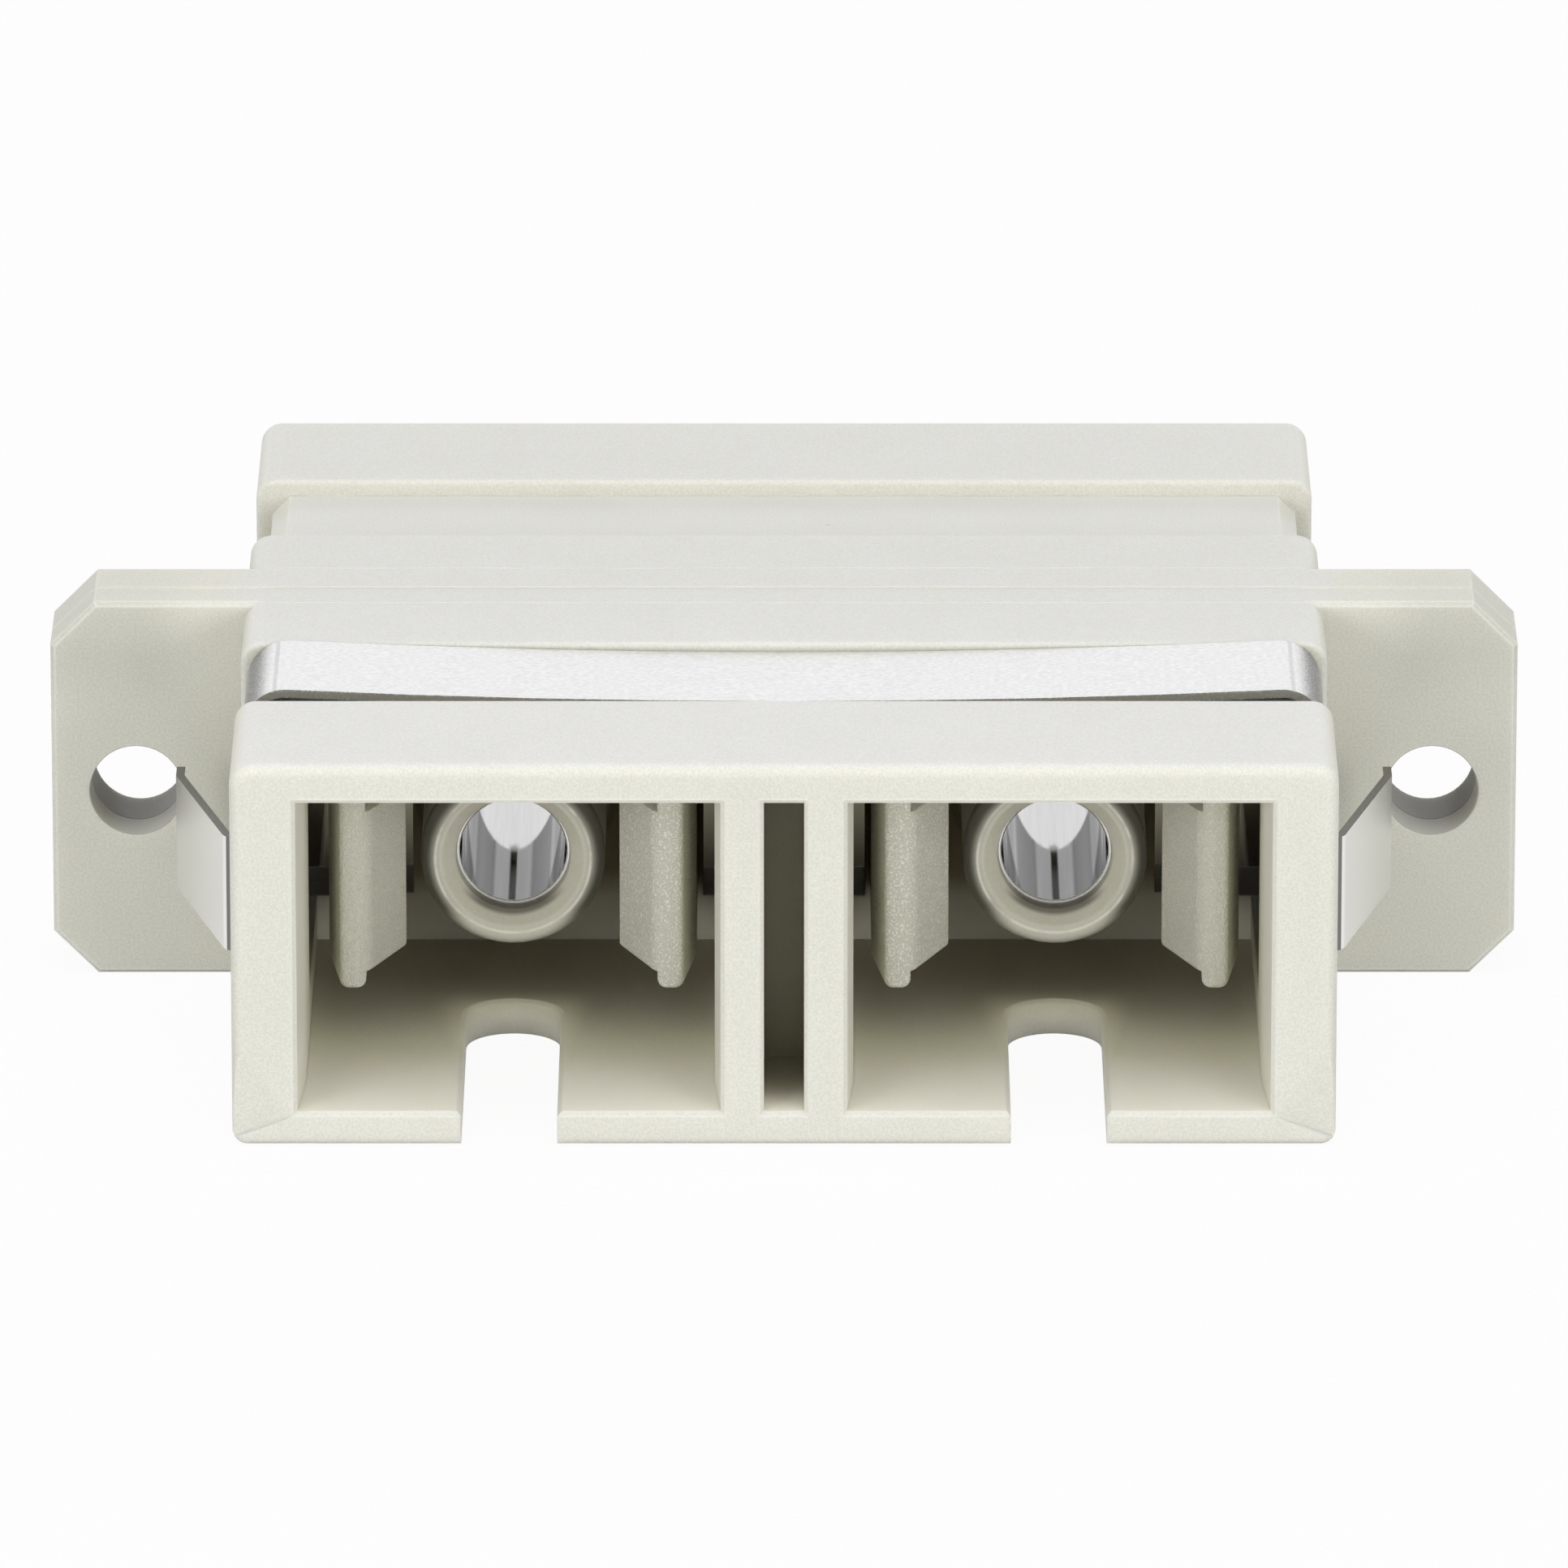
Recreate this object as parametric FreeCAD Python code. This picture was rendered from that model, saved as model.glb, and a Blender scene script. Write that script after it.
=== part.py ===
"""SC duplex fibre coupler: two moulded halves welded at a seam in the flange, four latch holders
back to back, two split alignment sleeves and a spring clip round the front groove.

Frame: origin on the flange's front face, midway between the two port axes; +X to the right seen
from the front, +Y from the front mouths to the rear ones, +Z up. Each half is drawn with the weld
seam at y = 0 and its mouths at -y, and every piece is then moved back so that the flange's front
face lies on y = 0. All sizes in millimetres."""
import FreeCAD, Part
import math
import os

Vec = FreeCAD.Vector
X_AXIS, Y_AXIS, Z_AXIS = Vec(1, 0, 0), Vec(0, 1, 0), Vec(0, 0, 1)

# Ports
PORT_WIDTH = 9.49
PORT_HEIGHT = 7.48
MOUTH_FLARE = 0.15
FLARE_DEPTH = 2.1
MOUTH_BREAK = 0.1
KEY_WIDTH = 2.22
KEY_LENGTH = 8.1
KEY_BREAK = 0.1

# Walls round and between the ports
SIDE_WALL = 1.655
TOP_WALL = 0.92
BOTTOM_WALL = 0.84
MID_WALL = 1.142
POCKET_WIDTH = 0.926
POCKET_DEPTH = 3.9

# Lengths of one half, from its mouth to the weld seam
COLLAR_LENGTH = 5.0
GROOVE_WIDTH = 4.4
MID_LENGTH = 4.3

# Groove, edges and the mitred ends of the mouth's bottom lip
GROOVE_DEPTH = 0.4
NECK_CHAMFER = 0.42
TOP_RADIUS = 0.5
BOTTOM_RADIUS = 0.35
FRONT_RADIUS = 0.28
GROOVE_RADIUS = 0.12
MITRE_RISE = 0.15
MITRE_SETBACK = 0.25
MITRE_HEIGHT = 2.5
MITRE_OVERSHOOT = 1.3
TOE_NOTCH = 1.0

# Flange
FLANGE_FRONT = 1.15
FLANGE_REAR = 1.6
EAR_WIDTH = 4.6
EAR_CHAMFER = 1.05
EAR_BREAK = 0.1
SEAM_BREAK = 0.02
HOLE_DIAMETER = 2.2
HOLE_EDGE = 2.0

# Latch holder: base plate, arms and hooks
FIT = 0.04
PLATE_THICKNESS = 1.1
PLATE_RIM = 0.4
ARM_REACH = 7.7
ARM_CLEARANCE = 0.445
ARM_THICKNESS = 0.9
ARM_HEIGHT = 4.8
TIP_TAPER = 0.3
TAPER_LENGTH = 2.1
TIP_RADIUS = 0.15
FOOT_RADIUS = 0.22
HOOK_DEPTH = 0.9
HOOK_HEIGHT = 3.95
HOOK_DROP = 0.07
HOOK_ROOT = 0.42
RAMP_LENGTH = 2.1
BROW_RADIUS = 0.6
HOOK_LAND = 0.25
CATCH_RAKE = 0.1
HOOK_RADIUS = 0.15
HOOK_EASE = 0.1
WINDOW_MARGIN = 0.6
WINDOW_GAP = 0.05
NOTCH_GAP = 0.13
RECESS_MARGIN = 0.25
RECESS_SETBACK = 0.9

# Alignment sleeve and the tube that holds it
SLEEVE_BORE = 2.5
SLEEVE_WALL = 0.3
SLEEVE_LENGTH = 11.4
SLEEVE_SLIT = 0.48
SLEEVE_BREAK = 0.03
SLEEVE_FLOAT = 0.05
TUBE_WALL = 0.56
TUBE_RADIUS = 0.3
TUBE_ROOT = 0.25
LIP_REVEAL = 0.07
LIP_THICKNESS = 0.25
LIP_DRAFT = 0.03
LEAD_IN = 0.35

# Spring clip
CLIP_SHEET = 0.2
CLIP_WIDTH = 3.8
CLIP_REAR_GAP = 0.08
CLIP_BOW = 0.28
CLIP_BEND = 0.8
CLIP_GAP = 0.05
TOE_BEND = 0.3
TOE_LENGTH = 0.4
FOLD_RADIUS = 0.15
WING_ANGLE = 15.4
WING_HEIGHT = 2.78
WING_DROP = 0.16
WING_TIP = 0.65
WING_CORNER = 0.35
PANEL_GAP = 2.0

# Worked out from the sizes above
PORT_PITCH = PORT_WIDTH + 2 * MID_WALL + POCKET_WIDTH
PORT_CENTRES = {"left": -PORT_PITCH / 2, "right": PORT_PITCH / 2}
MOUTH_WIDTH = PORT_WIDTH + 2 * MOUTH_FLARE
BODY_HALF = PORT_PITCH / 2 + PORT_WIDTH / 2 + SIDE_WALL
BODY_TOP = PORT_HEIGHT / 2 + TOP_WALL
BODY_BOTTOM = -PORT_HEIGHT / 2 - BOTTOM_WALL
HALF_LENGTH = COLLAR_LENGTH + GROOVE_WIDTH + MID_LENGTH
GROOVE_FRONT = COLLAR_LENGTH - HALF_LENGTH
GROOVE_REAR = GROOVE_FRONT + GROOVE_WIDTH
NECK_HALF = BODY_HALF - GROOVE_DEPTH
NECK_TOP = BODY_TOP - GROOVE_DEPTH
NECK_BOTTOM = BODY_BOTTOM + GROOVE_DEPTH
FLANGE_HALF = BODY_HALF + EAR_WIDTH
HOLE_X = FLANGE_HALF - HOLE_EDGE
PLATE_HALF = PORT_WIDTH / 2 + PLATE_RIM
PLATE_TOP = PORT_HEIGHT / 2 + PLATE_RIM
ARM_OUTER = PORT_WIDTH / 2 - ARM_CLEARANCE
ARM_INNER = ARM_OUTER - ARM_THICKNESS
HOOK_INNER = ARM_INNER - HOOK_DEPTH
ARM_TIP = -PLATE_THICKNESS - ARM_REACH
WINDOW_HEIGHT = HOOK_HEIGHT + 2 * WINDOW_MARGIN
RECESS_HEIGHT = ARM_HEIGHT + 2 * RECESS_MARGIN
BORE_RADIUS = SLEEVE_BORE / 2
SLEEVE_RADIUS = BORE_RADIUS + SLEEVE_WALL
TUBE_BORE = SLEEVE_RADIUS + SLEEVE_FLOAT
TUBE_OUTER = TUBE_BORE + TUBE_WALL
LIP_RADIUS = BORE_RADIUS + LIP_REVEAL


def box(x0, x1, y0, y1, z0, z1):
    """Box between two corners."""
    return Part.makeBox(x1 - x0, y1 - y0, z1 - z0, Vec(x0, y0, z0))


def prism(points, direction):
    """Closed outline of corner points, extruded along a vector."""
    return Part.Face(Part.makePolygon(points + points[:1])).extrude(direction)


def wire_prism(edges, direction):
    """Closed outline of line and arc edges, extruded along a vector."""
    return Part.Face(Part.Wire([edge.toShape() for edge in edges])).extrude(direction)


def edges_in_plane(shape, axis, value):
    """Edges that lie wholly in the plane where one coordinate has the given value."""
    low, high = axis + "Min", axis + "Max"
    return [e for e in shape.Edges if max(abs(getattr(e.BoundBox, low) - value),
                                          abs(getattr(e.BoundBox, high) - value)) < 1e-6]


def edges_along(shape, direction, test):
    """Straight edges parallel to a direction whose midpoint passes the test."""
    found = []
    for edge in shape.Edges:
        first, last = edge.Vertexes[0].Point, edge.Vertexes[-1].Point
        if (last - first).cross(direction).Length < 1e-6 and test((first + last) * 0.5):
            found.append(edge)
    return found


def body_block(y0, y1, radii):
    """Block of the full body section with rounded long edges; radii gives each rounded end by its y."""
    block = box(-BODY_HALF, BODY_HALF, y0, y1, BODY_BOTTOM, BODY_TOP)
    block = block.makeFillet(TOP_RADIUS, edges_along(block, Y_AXIS, lambda p: p.z > 0))
    low_edges = edges_along(block, Y_AXIS, lambda p: p.z < BODY_BOTTOM + 1e-6)
    block = block.makeFillet(BOTTOM_RADIUS, low_edges)
    for end, radius in radii.items():
        block = block.makeFillet(radius, edges_in_plane(block, "Y", end))
    return block


def cut_corner_prism(half, low, high, chamfer, y0, y1):
    """Prism along y of a rectangle with its four corners cut off."""
    outline = [Vec(-half, y0, low + chamfer), Vec(-half + chamfer, y0, low), Vec(half - chamfer, y0, low),
               Vec(half, y0, low + chamfer), Vec(half, y0, high - chamfer), Vec(half - chamfer, y0, high),
               Vec(-half + chamfer, y0, high), Vec(-half, y0, high - chamfer)]
    return prism(outline, Vec(0, y1 - y0, 0))


def flange_share(thickness):
    """One half's share of the flange, with broken edges at face and seam, and two screw holes."""
    plate = cut_corner_prism(FLANGE_HALF, BODY_BOTTOM, BODY_TOP, EAR_CHAMFER, -thickness, 0)
    plate = plate.makeChamfer(EAR_BREAK, edges_in_plane(plate, "Y", -thickness))
    plate = plate.makeChamfer(SEAM_BREAK, edges_in_plane(plate, "Y", 0))
    for side in (-1, 1):
        hole = Part.makeCylinder(HOLE_DIAMETER / 2, thickness, Vec(side * HOLE_X, -thickness, 0), Y_AXIS)
        flare = Part.makeCone(HOLE_DIAMETER / 2, HOLE_DIAMETER / 2 + SEAM_BREAK, SEAM_BREAK,
                              Vec(side * HOLE_X, -SEAM_BREAK, 0), Y_AXIS)
        plate = plate.cut(hole).cut(flare)
    return plate


def bevelled_mouth(centre, width, height):
    """Small bevel round a rectangular opening in the mouth face."""
    wires = []
    for depth, grow in ((0, MOUTH_BREAK), (MOUTH_BREAK, 0)):
        half, tall, y = width / 2 + grow, height / 2 + grow, depth - HALF_LENGTH
        corners = [Vec(centre - half, y, -tall), Vec(centre + half, y, -tall),
                   Vec(centre + half, y, tall), Vec(centre - half, y, tall)]
        wires.append(Part.makePolygon(corners + corners[:1]))
    return Part.makeLoft(wires, True, True)


def keyway_outline(centre, z, grow):
    """Slot outline at one height: open towards the mouth and round at its inner end."""
    half, end = KEY_WIDTH / 2 + grow, KEY_LENGTH - KEY_WIDTH / 2 - HALF_LENGTH
    start = -HALF_LENGTH - KEY_WIDTH
    left, right = Vec(centre - half, end, z), Vec(centre + half, end, z)
    front_left, front_right = Vec(left.x, start, z), Vec(right.x, start, z)
    edges = [Part.LineSegment(front_left, left), Part.Arc(left, Vec(centre, end + half, z), right),
             Part.LineSegment(right, front_right), Part.LineSegment(front_right, front_left)]
    return Part.Wire([edge.toShape() for edge in edges])


def keyway(centre):
    """Key slot through the bottom wall, with its edge eased where it meets the port's floor."""
    floor = -PORT_HEIGHT / 2
    slot = Part.Face(keyway_outline(centre, BODY_BOTTOM, 0)).extrude(Vec(0, 0, floor - BODY_BOTTOM))
    narrow, wide = keyway_outline(centre, floor - KEY_BREAK, 0), keyway_outline(centre, floor, KEY_BREAK)
    return slot.fuse(Part.makeLoft([narrow, wide], True, True))


def port_space(centre):
    """What one port takes out of a half: flared channel, recesses, plate pocket, bevel and keyway."""
    half, mouth = PORT_WIDTH / 2, MOUTH_WIDTH / 2
    low, shoulder = -PORT_HEIGHT / 2, -PLATE_THICKNESS - FIT
    outline = [Vec(centre - mouth, -HALF_LENGTH, low), Vec(centre + mouth, -HALF_LENGTH, low),
               Vec(centre + half, FLARE_DEPTH - HALF_LENGTH, low), Vec(centre + half, 0, low),
               Vec(centre - half, 0, low), Vec(centre - half, FLARE_DEPTH - HALF_LENGTH, low)]
    channel = prism(outline, Vec(0, 0, PORT_HEIGHT))
    pocket_half, pocket_top = PLATE_HALF + FIT, PLATE_TOP + FIT
    pocket = box(centre - pocket_half, centre + pocket_half, shoulder, 0, -pocket_top, pocket_top)
    recess = box(centre - pocket_half, centre + pocket_half, ARM_TIP + RECESS_SETBACK, 0,
                 -RECESS_HEIGHT / 2, RECESS_HEIGHT / 2)
    bevel = bevelled_mouth(centre, MOUTH_WIDTH, PORT_HEIGHT)
    return channel.multiFuse([pocket, recess, bevel, keyway(centre)])


def lip_mitre(side):
    """Wedge that sets the side wall's face back beside the bottom lip, from the mouth's corner out."""
    mouth_edge = PORT_PITCH / 2 + MOUTH_WIDTH / 2 + MOUTH_BREAK
    inner = Vec(side * mouth_edge, -HALF_LENGTH, -PORT_HEIGHT / 2 - MOUTH_BREAK)
    corner = Vec(side * BODY_HALF, MITRE_SETBACK - HALF_LENGTH, BODY_BOTTOM + MITRE_RISE)
    upper = Vec(side * BODY_HALF, -HALF_LENGTH, BODY_BOTTOM + MITRE_RISE + MITRE_HEIGHT)
    facet = [inner, inner + (corner - inner) * MITRE_OVERSHOOT, inner + (upper - inner) * MITRE_OVERSHOOT]
    return prism(facet, Vec(0, -COLLAR_LENGTH, 0))


def groove_core():
    """What the groove leaves: a neck with cut corners, full depth below except at the clip's toes."""
    neck = cut_corner_prism(NECK_HALF, NECK_BOTTOM, NECK_TOP, NECK_CHAMFER, GROOVE_FRONT, GROOVE_REAR)
    floor_half = NECK_HALF - TOE_NOTCH
    return neck.fuse(box(-floor_half, floor_half, GROOVE_FRONT, GROOVE_REAR, BODY_BOTTOM, NECK_BOTTOM))


def housing_half(flange_thickness):
    """One moulded half, with the seam at y = 0 and its mouths at the front."""
    collar_ends = {-HALF_LENGTH: FRONT_RADIUS, GROOVE_FRONT: GROOVE_RADIUS}
    collar = body_block(-HALF_LENGTH, GROOVE_FRONT, collar_ends)
    middle = body_block(GROOVE_REAR, 0, {GROOVE_REAR: GROOVE_RADIUS})
    solid = collar.multiFuse([groove_core(), middle, flange_share(flange_thickness)]).removeSplitter()
    pocket = box(-POCKET_WIDTH / 2, POCKET_WIDTH / 2, -HALF_LENGTH, POCKET_DEPTH - HALF_LENGTH,
                 -PORT_HEIGHT / 2, PORT_HEIGHT / 2)
    spaces = [port_space(centre) for centre in PORT_CENTRES.values()]
    spaces += [pocket, bevelled_mouth(0, POCKET_WIDTH, PORT_HEIGHT), lip_mitre(-1), lip_mitre(1)]
    return solid.cut(spaces).removeSplitter()


def base_plate():
    """Holder's plate: trapped between the halves, notched beside the arms, open behind the hooks."""
    plate = box(-PLATE_HALF, PLATE_HALF, -PLATE_THICKNESS, 0, -PLATE_TOP, PLATE_TOP)
    notch_from, window_from = ARM_OUTER + NOTCH_GAP, HOOK_INNER - WINDOW_GAP
    for side in (-1, 1):
        notch = (notch_from, PLATE_HALF, RECESS_HEIGHT)
        window = (window_from, ARM_INNER, WINDOW_HEIGHT)
        for x0, x1, height in (notch, window):
            low, high = sorted((side * x0, side * x1))
            plate = plate.cut(box(low, high, -PLATE_THICKNESS, 0, -height / 2, height / 2))
    return plate


def hook_bar(side, low, height):
    """Hook's section as an upright bar: a ramp with a rounded brow and tip, and a raked catch."""
    def point(x, y):
        return Vec(side * x, y, low)

    ramp, root = ARM_TIP + RAMP_LENGTH, ARM_INNER + HOOK_ROOT
    catch = ramp + HOOK_LAND + CATCH_RAKE
    brow, tip = point(ARM_INNER, ARM_TIP), point(HOOK_INNER, ramp)
    outline = [point(root, ARM_TIP), brow, tip, point(HOOK_INNER, ramp + HOOK_LAND),
               point(ARM_INNER, catch), point(root, catch)]
    bar = prism(outline, Vec(0, 0, height))
    for corner, radius in ((brow, BROW_RADIUS), (tip, HOOK_RADIUS)):
        upright = edges_along(bar, Z_AXIS, lambda p: (p - corner).cross(Z_AXIS).Length < 1e-6)
        bar = bar.makeFillet(radius, upright)
    return bar


def latch_arm(side):
    """Cantilever arm with a tapered, rounded tip and a hook whose ramp rounds into the arm's front."""
    def point(x, y, z):
        return Vec(side * x, y, z)

    low, base = -ARM_HEIGHT / 2, -PLATE_THICKNESS
    toe, heel = point(ARM_OUTER - TIP_TAPER, ARM_TIP, low), point(ARM_OUTER, ARM_TIP + TAPER_LENGTH, low)
    outline = [point(ARM_INNER, base, low), point(ARM_INNER, ARM_TIP, low), toe, heel,
               point(ARM_OUTER, base, low)]
    arm = prism(outline, Vec(0, 0, ARM_HEIGHT))
    long_edges = edges_along(arm, Y_AXIS, lambda p: abs(p.x - side * ARM_INNER) < 1e-6)
    long_edges += edges_along(arm, heel - toe, lambda p: True)
    arm = arm.makeFillet(FOOT_RADIUS, long_edges)
    arm = arm.makeFillet(TIP_RADIUS, edges_in_plane(arm, "Y", ARM_TIP))
    hook = hook_bar(side, -HOOK_HEIGHT / 2 - HOOK_DROP, HOOK_HEIGHT)
    lower = edges_in_plane(hook, "Z", -HOOK_HEIGHT / 2 - HOOK_DROP)
    inward = [edge for edge in lower if abs(edge.CenterOfMass.x) < ARM_INNER - HOOK_DEPTH / 3]
    hook = hook.makeFillet(HOOK_EASE, inward)
    reach = sorted((side * (ARM_INNER - HOOK_ROOT), side * (ARM_INNER + HOOK_ROOT - FIT / 4)))
    before_brow = box(reach[0], reach[1], ARM_TIP - BROW_RADIUS, ARM_TIP + BROW_RADIUS,
                      -ARM_HEIGHT / 2, ARM_HEIGHT / 2)
    arm = arm.cut(before_brow.cut(hook_bar(side, -ARM_HEIGHT / 2, ARM_HEIGHT)))
    return arm.fuse(hook)


def sleeve_tube():
    """Half of the sleeve's tube: a turned profile with a retaining lip, lead-in cone and rounded rim."""
    seat = -SLEEVE_LENGTH / 2 - SLEEVE_FLOAT
    cone = seat - LIP_THICKNESS
    rim = cone - LEAD_IN
    shoulder, turn = TUBE_OUTER - TUBE_RADIUS, TUBE_RADIUS * math.sqrt(0.5)
    root, base = TUBE_OUTER + TUBE_ROOT, -PLATE_THICKNESS
    before = [Vec(TUBE_BORE, 0), Vec(TUBE_BORE, seat), Vec(LIP_RADIUS, seat),
              Vec(LIP_RADIUS + LIP_DRAFT, cone), Vec(LIP_RADIUS + LEAD_IN, rim), Vec(shoulder, rim)]
    after = [Vec(TUBE_OUTER, rim + TUBE_RADIUS), Vec(TUBE_OUTER, base - TUBE_ROOT), Vec(root, base),
             Vec(root, 0), Vec(TUBE_BORE, 0)]
    rounded = Part.Arc(before[-1], Vec(shoulder + turn, rim + TUBE_RADIUS - turn), after[0])
    edges = [Part.LineSegment(a, b) for a, b in zip(before, before[1:])] + [rounded]
    edges += [Part.LineSegment(a, b) for a, b in zip(after, after[1:])]
    face = Part.Face(Part.Wire([edge.toShape() for edge in edges]))
    return face.revolve(Vec(0, 0, 0), Y_AXIS, 360)


def latch_holder():
    """One holder on the axis x = 0, its plate's back on the seam."""
    bore = Part.makeCylinder(TUBE_BORE, PLATE_THICKNESS, Vec(0, -PLATE_THICKNESS, 0), Y_AXIS)
    solid = base_plate().cut(bore)
    return solid.multiFuse([sleeve_tube(), latch_arm(-1), latch_arm(1)]).removeSplitter()


def split_sleeve():
    """Metal sleeve on the axis x = 0, slit along its top, its bore eased at both ends."""
    start = -SLEEVE_LENGTH / 2
    sleeve = Part.makeCylinder(SLEEVE_RADIUS, SLEEVE_LENGTH, Vec(0, start, 0), Y_AXIS)
    sleeve = sleeve.cut(Part.makeCylinder(BORE_RADIUS, SLEEVE_LENGTH, Vec(0, start, 0), Y_AXIS))
    for end, inward in ((start, 1), (-start, -1)):
        mouth, at = BORE_RADIUS + SLEEVE_BREAK, Vec(0, end, 0)
        sleeve = sleeve.cut(Part.makeCone(mouth, BORE_RADIUS, SLEEVE_BREAK, at, Y_AXIS * inward))
    slit = box(-SLEEVE_SLIT / 2, SLEEVE_SLIT / 2, start, -start, 0, SLEEVE_RADIUS + SLEEVE_WALL)
    return sleeve.cut(slit)


def strip_path(offset):
    """Clip's strip seen from the front, some way outside its inner face: bowed top, bends, legs, toes.

    Returns the edges from the left toe's end over the top to the right toe's end, and both ends."""
    leg = NECK_HALF + CLIP_GAP
    slope = 2 * math.atan2(CLIP_BOW, leg - CLIP_BEND)
    end = Vec(leg - CLIP_BEND * (1 + math.sin(slope)), 0, NECK_TOP + CLIP_BOW)
    bend = end + Vec(math.sin(slope), 0, -math.cos(slope)) * CLIP_BEND
    diagonal = math.sqrt(0.5)
    chamfer_reach = (NECK_HALF - NECK_BOTTOM - NECK_CHAMFER) * diagonal + CLIP_GAP
    toe = Vec(leg - TOE_BEND, 0, leg - TOE_BEND - (chamfer_reach - TOE_BEND) / diagonal)

    def round_corner(centre, radius, degrees):
        angle = math.radians(degrees)
        return centre + Vec(math.cos(angle), 0, math.sin(angle)) * radius

    tilt, outer, toe_outer = math.degrees(slope), CLIP_BEND + offset, TOE_BEND + offset
    right = [round_corner(bend, outer, degrees) for degrees in (90 + tilt, 45 + tilt / 2, 0)]
    right += [round_corner(toe, toe_outer, degrees) for degrees in (0, -22.5, -45)]
    right.append(right[-1] + Vec(-diagonal, 0, -diagonal) * TOE_LENGTH)
    left = [Vec(-p.x, 0, p.z) for p in right]
    edges = [Part.LineSegment(left[6], left[5]), Part.Arc(left[5], left[4], left[3]),
             Part.LineSegment(left[3], left[2]), Part.Arc(left[2], left[1], left[0]),
             Part.Arc(left[0], Vec(0, 0, NECK_TOP + offset), right[0]),
             Part.Arc(right[0], right[1], right[2]), Part.LineSegment(right[2], right[3]),
             Part.Arc(right[3], right[4], right[5]), Part.LineSegment(right[5], right[6])]
    return edges, left[6], right[6]


def clip_wing(side, front):
    """Spring wing: a tab folded back from the leg's front edge, bent straight again at its free end."""
    angle = math.radians(WING_ANGLE)
    leg_inner = NECK_HALF + CLIP_GAP
    centre = Vec(leg_inner + CLIP_SHEET + FOLD_RADIUS, front, 0)
    across, along = Vec(math.cos(angle), -math.sin(angle), 0), Vec(math.sin(angle), math.cos(angle), 0)
    halfway = Vec(math.cos((math.pi + angle) / 2), -math.sin((math.pi + angle) / 2), 0)
    tip = -FLANGE_FRONT - PANEL_GAP
    kink = tip - WING_TIP

    def face_points(radius, kink_y):
        start = centre + across * radius
        bent = start + along * ((kink_y - start.y) / along.y)
        return start, bent, Vec(bent.x, tip, 0)

    inner, outer = FOLD_RADIUS, FOLD_RADIUS + CLIP_SHEET
    in_start, in_bent, in_tip = face_points(inner, kink)
    out_start, out_bent, _ = face_points(outer, kink)
    out_bent = out_bent + along * ((in_bent.x + CLIP_SHEET - out_bent.x) / along.x)
    out_tip = Vec(out_bent.x, tip, 0)
    in_leg, out_leg = centre - X_AXIS * inner, centre - X_AXIS * outer
    edges = [Part.Arc(in_leg, centre + halfway * inner, in_start), Part.LineSegment(in_start, in_bent),
             Part.LineSegment(in_bent, in_tip), Part.LineSegment(in_tip, out_tip),
             Part.LineSegment(out_tip, out_bent), Part.LineSegment(out_bent, out_start),
             Part.Arc(out_start, centre + halfway * outer, out_leg), Part.LineSegment(out_leg, in_leg)]
    wing = wire_prism(edges, Vec(0, 0, WING_HEIGHT))
    wing.translate(Vec(0, 0, -WING_DROP - WING_HEIGHT / 2))
    low_tip = edges_along(wing, X_AXIS, lambda p: abs(p.y - tip) < 1e-6 and p.z < -WING_DROP)
    wing = wing.makeFillet(WING_CORNER, low_tip)
    return wing if side > 0 else wing.mirror(Vec(0, 0, 0), X_AXIS)


def spring_clip():
    """One bent sheet: the strip over the front groove and a wing at each side."""
    rear = GROOVE_REAR - CLIP_REAR_GAP
    front = rear - CLIP_WIDTH
    inner, inner_left, inner_right = strip_path(0)
    outer, outer_left, outer_right = strip_path(CLIP_SHEET)
    caps = [Part.LineSegment(inner_left, outer_left), Part.LineSegment(inner_right, outer_right)]
    outline = Part.Wire(Part.__sortEdges__([edge.toShape() for edge in inner + outer + caps]))
    strip = Part.Face(outline).extrude(Vec(0, CLIP_WIDTH, 0))
    strip.translate(Vec(0, front, 0))
    return strip.multiFuse([clip_wing(-1, front), clip_wing(1, front)]).removeSplitter()


def turned_round(shape):
    """Copy of a front piece turned half a turn about z, to face the rear."""
    copy = shape.copy()
    copy.rotate(Vec(0, 0, 0), Z_AXIS, 180)
    return copy


def build_pieces():
    """All pieces by name, in the part's frame."""
    holder = latch_holder()
    pieces = {"front_housing": housing_half(FLANGE_FRONT),
              "rear_housing": turned_round(housing_half(FLANGE_REAR)), "spring_clip": spring_clip()}
    for name, centre in PORT_CENTRES.items():
        for end, shape in (("front", holder), ("rear", turned_round(holder))):
            piece = shape.copy()
            piece.translate(X_AXIS * centre)
            pieces[end + "_" + name + "_latch_holder"] = piece
        sleeve = split_sleeve()
        sleeve.translate(X_AXIS * centre)
        pieces[name + "_split_sleeve"] = sleeve
    for piece in pieces.values():
        piece.translate(Y_AXIS * FLANGE_FRONT)
    return pieces


def main():
    os.makedirs("parts", exist_ok=True)
    for name, piece in build_pieces().items():
        piece.exportStep(os.path.join("parts", name + ".step"))
        print(name, len(piece.Solids), "solid", round(piece.Volume, 2), "mm3, valid", piece.isValid())


main()
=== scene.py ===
"""Looks of the SC duplex fibre coupler: ivory moulded plastic, a satin steel spring clip and polished
sleeves, on a white studio floor. Sizes are in millimetres and turned into metres by MM."""
import math

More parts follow.
